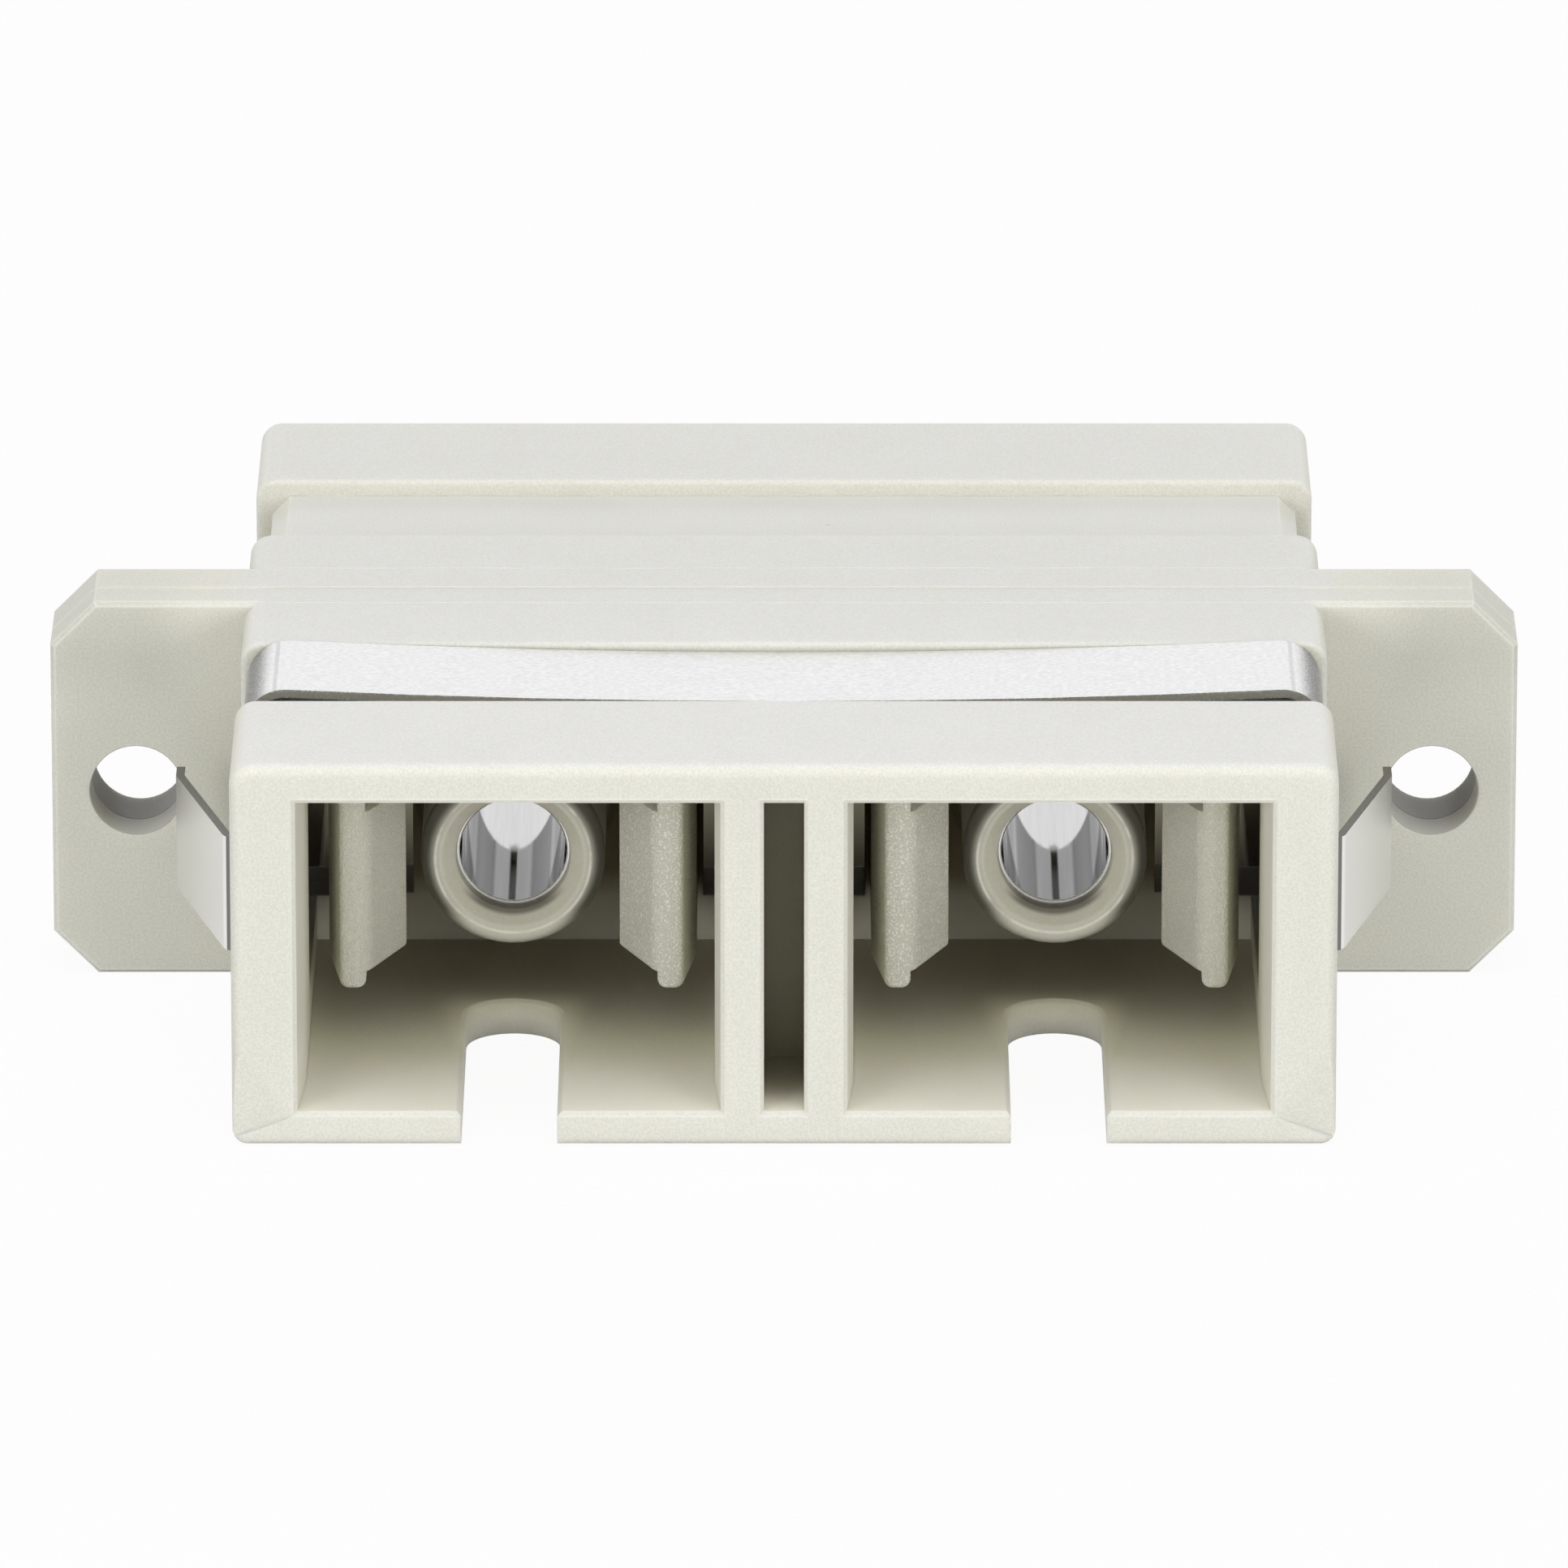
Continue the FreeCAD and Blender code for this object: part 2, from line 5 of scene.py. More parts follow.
import bpy
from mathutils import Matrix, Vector


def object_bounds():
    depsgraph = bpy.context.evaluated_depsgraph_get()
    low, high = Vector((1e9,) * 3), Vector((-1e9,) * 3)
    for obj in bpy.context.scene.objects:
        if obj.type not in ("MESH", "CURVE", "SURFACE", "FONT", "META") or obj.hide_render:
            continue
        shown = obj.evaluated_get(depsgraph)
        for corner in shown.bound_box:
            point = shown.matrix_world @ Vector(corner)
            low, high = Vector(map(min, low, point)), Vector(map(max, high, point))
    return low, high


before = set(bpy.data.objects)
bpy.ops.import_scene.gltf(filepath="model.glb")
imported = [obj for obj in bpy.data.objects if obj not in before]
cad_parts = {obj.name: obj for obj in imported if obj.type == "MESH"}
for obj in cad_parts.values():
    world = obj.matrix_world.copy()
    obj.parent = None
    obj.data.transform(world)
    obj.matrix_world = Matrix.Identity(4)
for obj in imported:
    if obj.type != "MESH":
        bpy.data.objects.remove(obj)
CAD_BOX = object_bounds()

MM = 0.001

# Camera, at the photograph's viewing angle
CAMERA_PLACE = (0.0, -397.05, 129.16)
CAMERA_PITCH = 18.0
CAMERA_LENS = 404.39
CAMERA_SENSOR = 36.0
CAMERA_NEAR = 10.0
CAMERA_FAR = 10000.0

# Studio
WHITE = (1.0, 1.0, 1.0, 1.0)
AMBIENT = 0.14
FLOOR_COLOUR = (0.75, 0.75, 0.75, 1.0)
FLOOR_GLOW = 0.94
MIRRORED_GLOW = 0.4
FLOOR_SIZE = 4000.0
# name: (place, width, depth, power in watts)
SOFTBOXES = {
    "overhead_softbox": ((0.0, -90.0, 555.0), 760.0, 460.0, 2.8),
    "left_softbox": ((-325.0, -510.0, 140.0), 280.0, 200.0, 1.33),
    "right_softbox": ((325.0, -510.0, 140.0), 280.0, 200.0, 1.33),
    "rear_softbox": ((0.0, 560.0, 200.0), 700.0, 160.0, 1.15),
}

# Ivory plastic, and the painted light and shade laid on it
IVORY = (0.75, 0.745, 0.673, 1.0)
IVORY_SHADE = (0.665, 0.66, 0.592, 1.0)
# Painted highlight: lighter ivory laid on eased edges, ridges, the arms' glints and the tube's ring
IVORY_PAINTED_HIGHLIGHT = (0.92, 0.915, 0.84, 1.0)
# Painted light just inside the port mouths and around the key slots
IVORY_PAINTED_MOUTH_LIGHT = (0.97, 0.935, 0.82, 1.0)
# Painted shade deep in the ports and the pocket
IVORY_PAINTED_DEEP_SHADE = (0.41, 0.372, 0.262, 1.0)
# Painted shade in the rear ports
IVORY_PAINTED_REAR_SHADE = (0.24, 0.205, 0.145, 1.0)
SPECK = (0.32, 0.30, 0.25, 1.0)
HOLDER_IVORY = (0.73, 0.725, 0.645, 1.0)
HOLDER_SHADE = (0.67, 0.665, 0.585, 1.0)
# Painted shade on the latch holder, deep in the ports and on the outer arms
HOLDER_PAINTED_SHADE = (0.60, 0.57, 0.485, 1.0)
# Painted shade on the sleeve tube's round and on the lip under the sleeve
HOLDER_PAINTED_TUBE_SHADE = (0.09, 0.084, 0.066, 1.0)
# Painted shade on the base plate's upper part and in its windows
PLATE_PAINTED_SHADE = (0.24, 0.19, 0.115, 1.0)
# Painted shade in the screw holes
HOLE_PAINTED_SHADE = (0.21, 0.195, 0.16, 1.0)
# Painted light and shade, as tints: a painted cool reflection on the upper faces, painted shade on the rear
# half, the ears and their upper outer corners, painted light beside the weld seam and on it, and painted warm
# light halfway into the ports
TOP_PAINTED_REFLECTION = (1.01, 1.01, 1.08, 1.0)
REAR_PAINTED_SHADE = (0.94, 0.94, 0.925, 1.0)
EAR_PAINTED_SHADE = (0.935, 0.935, 0.92, 1.0)
CORNER_PAINTED_SHADE = (0.86, 0.86, 0.86, 1.0)
SEAM_PAINTED_LIGHT = (1.065, 1.055, 1.01, 1.0)
SEAM_LINE_PAINTED_LIGHT = (1.13, 1.13, 1.12, 1.0)
PORT_PAINTED_WARM_LIGHT = (1.03, 1.03, 0.91, 1.0)
# Light scattered under the skin: its share and depth in each moulding, its colour, and the plastic's index
HOUSING_SCATTER = (0.4, 0.7)
HOLDER_SCATTER = (0.35, 0.3)
SCATTER_COLOUR = (1.0, 0.95, 0.8)
PLASTIC_IOR = 1.5

# Metals, with painted reflections, shade and highlights
STEEL = (0.92, 0.92, 0.925, 1.0)
STEEL_DULL = (0.76, 0.76, 0.765, 1.0)
# Painted reflection: the wings lighter and tinted ivory
STEEL_WING_PAINTED_REFLECTION = (0.91, 0.905, 0.885, 1.0)
# Bends: partly the dull worked steel, mostly painted shade
STEEL_BENT_PAINTED_SHADE = (0.27, 0.27, 0.275, 1.0)
# Painted reflection of the ivory collar on the sheared faces
STEEL_CUT_PAINTED_REFLECTION = (0.40, 0.385, 0.345, 1.0)
# Darker edges of the sheared faces
STEEL_DARK_EDGE = (0.14, 0.14, 0.14, 1.0)
SLEEVE_METAL = (0.64, 0.64, 0.645, 1.0)
SLEEVE_DULL = (0.60, 0.60, 0.605, 1.0)
# Painted darker reflection in the upper half of the bore
SLEEVE_ROOF_PAINTED_REFLECTION = (0.46, 0.46, 0.465, 1.0)
# Painted dark reflections at the bore's sides
SLEEVE_SIDES_PAINTED_REFLECTION = (0.13, 0.13, 0.135, 1.0)
# Painted highlight on the sleeve's rims
SLEEVE_RIM_PAINTED_HIGHLIGHT = (0.98, 0.98, 0.98, 1.0)

# Places on the part: flange faces and weld seam, screw holes, body and ports, pocket, key slots, clip wings
FLANGE_FRONT_Y = 0.0
SEAM_Y = 1.15
FLANGE_REAR_Y = 2.75
HOLE_X = 15.35
HOLE_WALL_RADIUS = 1.12
BODY_HALF_LENGTH = 13.7
RIDGES_HALF_WIDTH = 12.4
PORTS_HALF_WIDTH = 11.7
PORT_X = 6.35
POCKET_HALF_WIDTH = 0.48
KEYWAY_HALF_WIDTH = 1.11
WING_START_X = 12.62
# Places on either side of the seam, measured from it
PLATE_FRONT_Y = 1.1
SLEEVE_RIM_Y = 5.63
TUBE_FRONT_Y = 5.7
# Radii about a port's axis
TUBE_RING_RADIUS = 1.82
TUBE_LIP_RADIUS = 1.43

# From here, a pair is where a mask fades in: it is 0 at the first number and 1 at the second.
# Depths from a mouth
MOUTH_RIM_DEPTH = (0.02, 0.2)
MOUTH_DEPTH = (8.5, 2.5)
HALFWAY_START = (2.0, 6.0)
HALFWAY_END = (10.0, 7.5)
DEEP_DEPTH = (4.5, 10.2)
POCKET_DEPTH = (0.2, 2.2)
KEY_HALO_DEPTH = (9.0, 7.5)
BEHIND_DEPTH = (0.5, 5.0)
FAR_BEHIND_DEPTH = (7.0, 10.0)
# Heights, places along the part, and distances from its middle, a port's axis, the seam or the tube's ring
PORTS_Z = (4.2, 3.8)
PORT_FLOOR_Z = (-3.5, -3.7)
KEY_HALO_X = (KEYWAY_HALF_WIDTH + 0.9, KEYWAY_HALF_WIDTH)
BODY_TOP_Z = (4.5, 4.6)
EARS_X = (12.6, 13.4)
EAR_CORNERS_X = (13.6, 15.4)
EAR_CORNERS_Z = (1.8, 3.6)
REARWARD_Y = (-8.0, 3.0)
BEHIND_SEAM_Y = (SEAM_Y - 0.05, SEAM_Y + 0.05)
SEAM_CLEARANCE = (0.12, 0.2)
ARMS_X = (2.3, 2.5)
ARMS_Y = (1.8, 2.4)
INNER_ARMS_X = (PORT_X + 1.0, PORT_X - 1.0)
PLATE_Y = (PLATE_FRONT_Y + 0.4, PLATE_FRONT_Y + 0.1)
PLATE_UPPER_Z = (-2.8, -1.9)
WINDOWS_Y = (PLATE_FRONT_Y - 0.02, PLATE_FRONT_Y - 0.1)
TUBE_RADIUS = (2.5, 2.0)
TUBE_RING = (0.06, 0.0)
TUBE_ROUND = (0.0, 0.36)
TUBE_UNDERSIDE_Z = (-1.1, -1.9)
TUBE_LIP = (TUBE_LIP_RADIUS + 0.07, TUBE_LIP_RADIUS - 0.03)
TUBE_LIP_Z = (-0.7, -1.2)
CLIP_TOP_Z = (3.0, 3.6)
SLEEVE_ROOF_Z = (-0.2, 0.3)
SLEEVE_SIDES_LOW_Z = (-1.0, -0.75)
SLEEVE_SIDES_HIGH_Z = (0.75, 0.45)
# Parts of a normal, how far an eased edge turns it, and the part that counts as square on
UPWARD = (0.6, 0.95)
SIDEWAYS = (0.3, 0.6)
NOT_DOWNWARD = (-0.4, -0.05)
BEND_START = (0.18, 0.23)
BEND_START_END = (0.27, 0.33)
BEND = (0.3, 0.8)
BEND_END = (0.82, 1.0)
EDGE_TURN = (0.02, 0.25)
SQUARE_ON = 0.7
# Values of a noise, and distances from a speck's middle, in spacings
PLASTIC_TONE = (0.32, 0.68)
METAL_TONE = (0.3, 0.7)
SPECK_DISTANCE = (0.05, 0.015)
RIDGE_BREAKS = (0.3, 0.7)
RING_BREAKS = (0.35, 0.65)
PITS = (0.38, 0.62)
PIT_GLINTS = (0.52, 0.64)
CUT_GLINTS = (0.5, 0.6)

# From here, a pair is what a mask gives: the first number where it is 0, the second where it is 1.
DEPTH_IN_HALO = (1.0, 0.4)
FAR_BEHIND_SHADE = (1.0, 1.9)
MOUTH_LIGHT_SIDEWAYS = (0.78, 0.33)
RIDGE_STRENGTH = (0.2, 1.0)
HOLE_SHADE_BEHIND = (0.5, 1.0)
CORNER_UPWARD = (1.0, 0.4)
RING_STRENGTH = (0.25, 0.75)
ROUND_SHADE_BELOW = (0.97, 0.62)
ROUND_START_BELOW = (TUBE_RING_RADIUS - 0.14, TUBE_RING_RADIUS + 0.08)
ARM_GLINT_INSIDE = (0.2, 0.85)
HOLDER_PAINTED_HIGHLIGHT_ON_TUBE = (0.4, 0.1)
DEPTH_ON_TUBE = (1.0, 0.8)
CUT_GLINT_AT_EDGE = (0.1, 1.0)
RIDGE_WAVE = (-0.04, 0.04)
PEEL_SPREAD = (-1.2, 1.2)
HOUSING_ROUGH_BEHIND = (0.38, 0.88)
STEEL_ROUGH_WORKED = (0.3, 0.45)

# Lines across the part, by their half widths: the seam, the bands of painted light along it, and ridges
SEAM_WIDTH = 0.06
SEAM_LINE_WIDTH = 0.17
SEAM_SIDES_WIDTH = 0.35
# y, half width, strength
RIDGES = ((FLANGE_FRONT_Y, 0.08, 1.0), (FLANGE_REAR_Y, 0.07, 1.0), (SEAM_Y + 0.13, 0.1, 0.7))

# Eased edges: radius by kind of piece
HOUSING_EDGE = 0.1
HOLDER_EDGE = 0.08
CLIP_EDGE = 0.05
SLEEVE_EDGE = 0.04
EDGE_SAMPLES = 2

# Grain: sizes of blotches (of the metals along x, y and z), spacing and share of specks, octaves of noise
RIDGE_WAVE_GRAIN = 1.6
RIDGE_BREAK_GRAIN = 1.2
RING_BREAK_GRAIN = 0.5
HOLDER_GRAIN = 0.08
PIT_GRAIN = 0.055
PEEL_GRAIN = 0.05
STEEL_GRAIN = (0.12, 0.05, 0.06)
SLEEVE_GRAIN = (0.07, 2.5, 0.07)
HOLDER_SPECK_SPACING = 1.6
SPECK_SHARE = 0.14
FINE_TONE_SHARE = 0.85
FINE_DETAIL = 3.0
MEDIUM_DETAIL = 2.0
PLAIN_DETAIL = 1.0

# Relief, as bump depths, and the seam's groove as a share of the ridges
RIDGE_RELIEF = 0.015
SEAM_GROOVE = 0.05
HOUSING_RELIEF = 0.0035
PIT_RELIEF = 0.018
HOLDER_RELIEF = 0.002
STEEL_RELIEF = 0.0015
PEEL_RELIEF = 0.002
SLEEVE_RELIEF = 0.0001

# Strengths of coats: painted shade, light, highlights and glints, darker edges, and specks
POCKET_SHADE = 0.65
EDGE_PAINTED_HIGHLIGHT = 0.9
RIDGE_PAINTED_HIGHLIGHT = 0.6
BEHIND_SHADE = 0.45
SPECK_STRENGTH = 0.6
TUBE_LIP_SHADE = 0.75
PLATE_UPPER_SHADE = 0.9
WINDOW_SHADE = 0.35
OUTER_ARM_SHADE = 0.2
BEND_START_SHADE = 0.3
BEND_END_LIGHT = 0.4
WING_CUT_GLINT = 0.4
WING_DARK_EDGE = 0.65

# Roughness, and what tones and masks add to it or take from it
HOUSING_TONE_ROUGH = 0.08
HOLDER_ROUGH = 0.34
HOLDER_TONE_ROUGH = 0.1
ARM_POLISH = 0.06
PLATE_ROUGH = 0.6
SLEEVE_ROUGH = 0.05
SLEEVE_TONE_POLISH = 0.02
SLEEVE_RIM_ROUGH = 0.3


def feed(tree, socket, value):
    """Gives a socket a value, or a link from another socket."""
    if isinstance(value, bpy.types.NodeSocket):
        tree.links.new(value, socket)
    else:
        socket.default_value = value


def add_node(tree, kind, inputs=None, **settings):
    """Adds a node, sets its properties, and gives each named input a value or a link."""
    node = tree.nodes.new(kind)
    for name, value in settings.items():
        setattr(node, name, value)
    for key, value in (inputs or {}).items():
        feed(tree, node.inputs[key], value)
    return node


def calc(tree, operation, *values):
    """Math node on numbers or sockets."""
    return add_node(tree, "ShaderNodeMath", dict(enumerate(values)), operation=operation).outputs[0]


def fade(tree, value, low, high):
    """Smooth step of a value: 0 at low, 1 at high."""
    sockets = {"Value": value, "From Min": low, "From Max": high}
    return add_node(tree, "ShaderNodeMapRange", sockets, interpolation_type="SMOOTHSTEP").outputs[0]


def between(tree, mask, without, within):
    """A number where a mask is 0, another where it is 1, and evenly from one to the other between."""
    return calc(tree, "MULTIPLY_ADD", mask, within - without, without)


def product(tree, *values):
    """Product of several values."""
    total = values[0]
    for value in values[1:]:
        total = calc(tree, "MULTIPLY", total, value)
    return total


def rest_of(tree, mask):
    """What a mask leaves: 1 where it is 0."""
    return calc(tree, "SUBTRACT", 1.0, mask)


def size_of(tree, value):
    """A value without its sign."""
    return calc(tree, "ABSOLUTE", value)


def apart(tree, value, at):
    """How far a value lies from a number."""
    return size_of(tree, calc(tree, "SUBTRACT", value, at))


def mix_colours(tree, factor, first, second, blend="MIX"):
    """Colour between two colours, or the first multiplied by the second."""
    sockets = {0: factor, 6: first, 7: second}
    return add_node(tree, "ShaderNodeMix", sockets, data_type="RGBA", blend_type=blend).outputs[2]


def cover(tree, colour, coats, blend="MIX"):
    """A colour under coats, each a mask and the coat's own colour, or toned by tints."""
    for mask, coat in coats:
        colour = mix_colours(tree, mask, colour, coat, blend)
    return colour


def split(tree, vector):
    """The x, y and z of a vector, by name."""
    return add_node(tree, "ShaderNodeSeparateXYZ", {0: vector}).outputs


def place_mm(tree):
    """Object coordinates, in millimetres."""
    place = add_node(tree, "ShaderNodeTexCoord").outputs["Object"]
    return add_node(tree, "ShaderNodeVectorMath", {0: place, "Scale": 1 / MM}, operation="SCALE").outputs[0]


def face_normal(tree):
    """Normal of the surface itself."""
    return add_node(tree, "ShaderNodeNewGeometry").outputs["Normal"]


def off_axis(tree, axes, x):
    """Distance from the nearer of two axes along y, at x on either side of the middle."""
    across = calc(tree, "SUBTRACT", size_of(tree, axes["X"]), x)
    square = calc(tree, "MULTIPLY_ADD", across, across, product(tree, axes["Z"], axes["Z"]))
    return calc(tree, "SQRT", square)


def cross_line(tree, y, at, half_width):
    """Line across the part at one y: 1 on the line, 0 past its half width."""
    return rest_of(tree, fade(tree, apart(tree, y, at), 0.0, half_width))


def noise(tree, vector, scale, detail=MEDIUM_DETAIL):
    """Noise with about so many blotches to a unit of the vector."""
    sockets = {"Vector": vector, "Scale": scale, "Detail": detail}
    return add_node(tree, "ShaderNodeTexNoise", sockets).outputs[0]


def bumped(tree, height, normal, depth):
    """Normal raised by a height, depth in millimetres."""
    sockets = {"Height": height, "Normal": normal, "Distance": depth * MM, "Strength": 1.0}
    return add_node(tree, "ShaderNodeBump", sockets).outputs[0]


def set_inputs(tree, node, **values):
    """Gives a node's sockets values or links, by name."""
    for label, value in values.items():
        feed(tree, node.inputs[label.replace("_", " ")], value)


def new_group(name, inputs, outputs):
    """Empty shader group with float inputs and outputs of the given kinds."""
    tree = bpy.data.node_groups.new(name, "ShaderNodeTree")
    for label, default in inputs.items():
        socket = tree.interface.new_socket(label, in_out="INPUT", socket_type="NodeSocketFloat")
        socket.default_value = default
    for label, kind in outputs.items():
        tree.interface.new_socket(label, in_out="OUTPUT", socket_type=kind)
    return tree, tree.nodes.new("NodeGroupInput").outputs, tree.nodes.new("NodeGroupOutput").inputs


def use_group(tree, group, **values):
    """Places a shader group in a tree with its own values."""
    node = add_node(tree, "ShaderNodeGroup", node_tree=group)
    set_inputs(tree, node, **values)
    return node.outputs


def moulded_grain_group():
    """Moulded skin: fine grain height, broad tone and rare dark specks."""
    tree, enter, leave = new_group(
        "moulded_grain", {"Grain": 0.06, "Blotch": 2.5, "Speck Spacing": 1.1},
        {"Height": "NodeSocketFloat", "Tone": "NodeSocketFloat", "Speck": "NodeSocketFloat"})
    place = place_mm(tree)
    fine = noise(tree, place, calc(tree, "DIVIDE", 1.0, enter["Grain"]), FINE_DETAIL)
    broad = noise(tree, place, calc(tree, "DIVIDE", 1.0, enter["Blotch"]))
    tree.links.new(fine, leave["Height"])
    broad = calc(tree, "MULTIPLY", broad, 1.0 - FINE_TONE_SHARE)
    tone = calc(tree, "MULTIPLY_ADD", fine, FINE_TONE_SHARE, broad)
    tree.links.new(fade(tree, tone, *PLASTIC_TONE), leave["Tone"])
    scale = calc(tree, "DIVIDE", 1.0, enter["Speck Spacing"])
    cells = add_node(tree, "ShaderNodeTexVoronoi", {"Vector": place, "Scale": scale}).outputs
    pick = add_node(tree, "ShaderNodeSeparateColor", {"Color": cells["Color"]}).outputs[0]
    chosen = calc(tree, "GREATER_THAN", pick, 1.0 - SPECK_SHARE)
    dot = fade(tree, cells["Distance"], *SPECK_DISTANCE)
    tree.links.new(product(tree, chosen, dot), leave["Speck"])
    return tree


def soft_edge_group():
    """Edges eased by a small radius: the rounded normal, and how close to an edge a point lies."""
    tree, enter, leave = new_group("soft_edge", {"Radius": 0.06},
                                   {"Normal": "NodeSocketVector", "Edge": "NodeSocketFloat"})
    radius = calc(tree, "MULTIPLY", enter["Radius"], MM)
    eased = add_node(tree, "ShaderNodeBevel", {"Radius": radius}, samples=EDGE_SAMPLES).outputs[0]
    tree.links.new(eased, leave["Normal"])
    turn = add_node(tree, "ShaderNodeVectorMath", {0: eased, 1: face_normal(tree)}, operation="DOT_PRODUCT")
    away = rest_of(tree, turn.outputs["Value"])
    tree.links.new(fade(tree, away, *EDGE_TURN), leave["Edge"])
    return tree


def port_depth_group():
    """How deep a point lies in a port or the pocket, as masks for painted light and shade: depth is 0 at the
    mouth and outside and 1 deep inside, less around the key slots; mouth is 1 just inside the mouths and
    around the key slots; halfway is 1 between them; and behind is 1 in the rear ports and nearly 2 deep in
    them."""
    labels = ("Depth", "Mouth", "Halfway", "Behind")
    tree, _, leave = new_group("port_depth", {}, {label: "NodeSocketFloat" for label in labels})
    axes = split(tree, place_mm(tree))
    across = size_of(tree, axes["X"])
    inside = product(tree, calc(tree, "LESS_THAN", across, PORTS_HALF_WIDTH),
                     fade(tree, size_of(tree, axes["Z"]), *PORTS_Z))
    depth = calc(tree, "SUBTRACT", BODY_HALF_LENGTH, apart(tree, axes["Y"], SEAM_Y))
    halo = product(tree, fade(tree, apart(tree, across, PORT_X), *KEY_HALO_X),
                   fade(tree, depth, *KEY_HALO_DEPTH), fade(tree, axes["Z"], *PORT_FLOOR_Z))
    pocket = product(tree, calc(tree, "LESS_THAN", across, POCKET_HALF_WIDTH),
                     fade(tree, depth, *POCKET_DEPTH), POCKET_SHADE)
    deepest = calc(tree, "MAXIMUM", fade(tree, depth, *DEEP_DEPTH), pocket)
    deepest = product(tree, deepest, between(tree, halo, *DEPTH_IN_HALO))
    halfway = product(tree, fade(tree, depth, *HALFWAY_START), fade(tree, depth, *HALFWAY_END))
    darker = between(tree, fade(tree, depth, *FAR_BEHIND_DEPTH), *FAR_BEHIND_SHADE)
    behind = product(tree, calc(tree, "GREATER_THAN", axes["Y"], SEAM_Y),
                     fade(tree, depth, *BEHIND_DEPTH), darker)
    mouth = calc(tree, "MAXIMUM", product(tree, inside, fade(tree, depth, *MOUTH_DEPTH)), halo)
    tree.links.new(product(tree, mouth, fade(tree, depth, *MOUTH_RIM_DEPTH)), leave["Mouth"])
    for label, mask in (("Depth", deepest), ("Halfway", halfway), ("Behind", behind)):
        tree.links.new(product(tree, inside, mask), leave[label])
    return tree


def metal_grain_group():
    """Drawn metal: grain stretched along x, y or z by its lengths, as height and tone."""
    tree, enter, leave = new_group(
        "metal_grain", {"Length X": 0.6, "Length Y": 0.05, "Length Z": 0.05},
        {"Height": "NodeSocketFloat", "Tone": "NodeSocketFloat"})
    lengths = add_node(tree, "ShaderNodeCombineXYZ",
                       {axis: enter["Length " + axis] for axis in "XYZ"}).outputs[0]
    stretched = add_node(tree, "ShaderNodeVectorMath", {0: place_mm(tree), 1: lengths}, operation="DIVIDE")
    grain = noise(tree, stretched.outputs[0], 1.0, FINE_DETAIL)
    tree.links.new(grain, leave["Height"])
    tree.links.new(fade(tree, grain, *METAL_TONE), leave["Tone"])
    return tree


def use_metal_grain(tree, groups, lengths):
    """Drawn grain with its lengths along x, y and z."""
    x, y, z = lengths
    return use_group(tree, groups["metal_grain"], Length_X=x, Length_Y=y, Length_Z=z)


def empty_tree(owner):
    """Cleared shader tree of a material or world."""
    owner.use_nodes = True
    owner.node_tree.nodes.clear()
    return owner.node_tree


def new_material(name):
    """Material with an empty tree, and its Principled shader."""
    material = bpy.data.materials.new(name)
    tree = empty_tree(material)
    shader = tree.nodes.new("ShaderNodeBsdfPrincipled")
    add_node(tree, "ShaderNodeOutputMaterial", {"Surface": shader.outputs[0]})
    return material, tree, shader


def finish_plastic(tree, shader, scatter, **looks):
    """Plastic that scatters a share of the light under its skin, to a depth."""
    share, depth = scatter
    set_inputs(tree, shader, IOR=PLASTIC_IOR, Subsurface_Weight=share, Subsurface_Radius=SCATTER_COLOUR,
               Subsurface_Scale=depth * MM, **looks)


def moulding_lines(tree, place):
    """Broken ridges across the body's top at the flange faces and behind the seam, a mask for their relief
    and their painted highlight; the seam.
    """
    axes = split(tree, place)
    wave = between(tree, noise(tree, place, 1 / RIDGE_WAVE_GRAIN), *RIDGE_WAVE)
    wavy_y = calc(tree, "ADD", axes["Y"], wave)
    on_top = product(tree, fade(tree, axes["Z"], *BODY_TOP_Z),
                     calc(tree, "LESS_THAN", size_of(tree, axes["X"]), RIDGES_HALF_WIDTH))
    broken = fade(tree, noise(tree, place, 1 / RIDGE_BREAK_GRAIN), *RIDGE_BREAKS)
    broken = between(tree, broken, *RIDGE_STRENGTH)
    ridges = 0.0
    for at, half_width, strength in RIDGES:
        ridges = calc(tree, "MULTIPLY_ADD", cross_line(tree, wavy_y, at, half_width), strength, ridges)
    return product(tree, ridges, on_top, broken), cross_line(tree, axes["Y"], SEAM_Y, SEAM_WIDTH)


def screw_hole_painted_shade(tree, place):
    """Painted shade on the wall of the screw holes, in full behind the seam and by half before it."""
    axes = split(tree, place)
    near = calc(tree, "LESS_THAN", off_axis(tree, axes, HOLE_X), HOLE_WALL_RADIUS)
    behind = fade(tree, axes["Y"], *BEHIND_SEAM_Y)
    return product(tree, near, between(tree, behind, *HOLE_SHADE_BEHIND))


